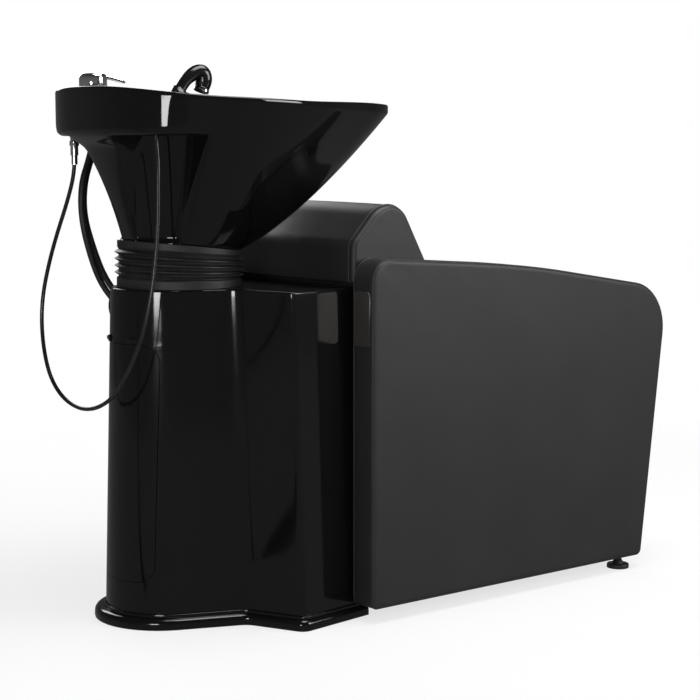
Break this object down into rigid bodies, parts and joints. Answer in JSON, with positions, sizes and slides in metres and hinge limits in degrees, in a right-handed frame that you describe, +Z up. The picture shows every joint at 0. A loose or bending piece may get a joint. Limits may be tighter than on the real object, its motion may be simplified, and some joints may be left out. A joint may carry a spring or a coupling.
{
  "type": "salon backwash unit",
  "caption": "Backwash chair: a tilting ceramic basin with mixer tap and hand shower on a moulded pedestal, and an upholstered armchair bolted to its front.",
  "frame": {"origin": "on the floor, under the middle of the whole object's length and width", "axes": "+X from the basin's rear towards the chair's front, +Y to the sitter's left, +Z up"},
  "size_m": [1.138, 0.608, 0.9748],
  "materials": {
    "gloss_shell": "black, high gloss, moulded",
    "basin_ceramic": "black glaze, high gloss",
    "chrome_trim": "polished",
    "brass_fitting": "plain turned",
    "bright_steel": "turned",
    "gaiter_rubber": "black, satin",
    "black_plastic": "black, gloss",
    "hose_black": "black, smooth, satin",
    "frame_steel": "dark grey powder coat",
    "zinc_screws": "zinc plated",
    "bearing_plastic": "natural",
    "collar_ring": "black, satin",
    "upholstery": "black leather cloth, fine grain, satin",
    "board_wood": "birch plywood",
    "satin_plate": "satin, warm grey",
    "foot_plastic": "black"
  },
  "bodies": {
    "root": {"pedestal_shell": "gloss_shell", "base_flange": "gloss_shell", "supply_ends": "brass_fitting", "bellows": "gaiter_rubber", "hose_grommet": "gaiter_rubber", "bellows_clamp": "black_plastic", "drain_spigot": "black_plastic", "supply_hose_hot": "hose_black", "supply_hose_cold": "hose_black", "drain_hose": "hose_black", "base_plate": "frame_steel", "upright_right": "frame_steel", "upright_left": "frame_steel", "tie_rail_right": "frame_steel", "tie_rail_left": "frame_steel", "crosshead": "frame_steel", "pivot_bracket": "frame_steel", "spigot_bracket": "frame_steel", "seat_brackets": "frame_steel", "frame_screws": "zinc_screws", "joining_bolts": "zinc_screws", "armrest_bolts": "zinc_screws", "foot_sockets": "zinc_screws", "pivot_bushes": "bearing_plastic", "armrest_right": "upholstery", "armrest_left": "upholstery", "backrest": "upholstery", "seat_cushion": "upholstery", "armrest_core_right": "board_wood", "armrest_core_left": "board_wood", "rear_board": "board_wood", "back_board": "board_wood", "seat_board": "board_wood", "front_apron": "board_wood", "armrest_plate": "satin_plate"},
    "basin": {"basin": "basin_ceramic", "tilt_saddle": "frame_steel", "pivot_pins": "bright_steel", "friction_washers": "bearing_plastic", "bellows_collar": "collar_ring", "waste_strainer": "chrome_trim", "waste_body": "black_plastic", "waste_nut": "black_plastic", "mixer_body": "chrome_trim", "mixer_shank": "brass_fitting", "shank_nut": "brass_fitting", "hose_outlet": "chrome_trim", "handset_collar": "black_plastic", "collar_nut": "black_plastic", "shower_hose": "hose_black", "hose_ferrules": "chrome_trim"},
    "mixer_swivel": {"mixer_swivel": "bright_steel"},
    "mixer_lever": {"mixer_lever": "chrome_trim"},
    "handset": {"handset": "black_plastic", "spray_face": "chrome_trim"},
    "service_door": {"service_door": "gloss_shell"},
    "door_catch_right": {"door_catch_right": "black_plastic"},
    "door_catch_left": {"door_catch_left": "black_plastic"},
    "levelling_foot_right": {"levelling_foot_right": "foot_plastic"},
    "levelling_foot_left": {"levelling_foot_left": "foot_plastic"}
  },
  "joints": [
    {"name": "basin_tilt", "type": "hinge", "parent": "root", "child": "basin", "pos_m": [-0.375, 0, 0.63], "axis": [0, 1, 0], "range_deg": [-8, 4], "deforming": ["bellows", "supply_hose_hot", "supply_hose_cold", "drain_hose"]},
    {"name": "mixer_turn", "type": "hinge", "parent": "basin", "child": "mixer_swivel", "pos_m": [-0.476, 0.12, 0.95273], "axis": [0, 0, 1], "range_deg": [-45, 45]},
    {"name": "mixer_lift", "type": "hinge", "parent": "mixer_swivel", "child": "mixer_lever", "pos_m": [-0.476, 0.12, 0.95273], "axis": [0, -1, 0], "range_deg": [0, 18]},
    {"name": "handset_pull", "type": "slide", "parent": "basin", "child": "handset", "axis": [0.5592, 0, 0.829], "range_m": [0, 0.05]},
    {"name": "door_lift_out", "type": "slide", "parent": "root", "child": "service_door", "axis": [-1, 0, 0], "range_m": [0, 0.03]},
    {"name": "catch_turn_right", "type": "hinge", "parent": "root", "child": "door_catch_right", "pos_m": [-0.49856, -0.03442, 0.506], "axis": [-0.9397, -0.342, 0], "range_deg": [-90, 0]},
    {"name": "catch_turn_left", "type": "hinge", "parent": "root", "child": "door_catch_left", "pos_m": [-0.49856, 0.03442, 0.506], "axis": [-0.9397, 0.342, 0], "range_deg": [0, 90]},
    {"name": "foot_turn_right", "type": "hinge", "parent": "root", "child": "levelling_foot_right", "pos_m": [0.485, -0.2735, 0.02], "axis": [0, 0, 1], "continuous": true},
    {"name": "foot_turn_left", "type": "hinge", "parent": "root", "child": "levelling_foot_left", "pos_m": [0.485, 0.2735, 0.02], "axis": [0, 0, 1], "continuous": true}
  ]
}
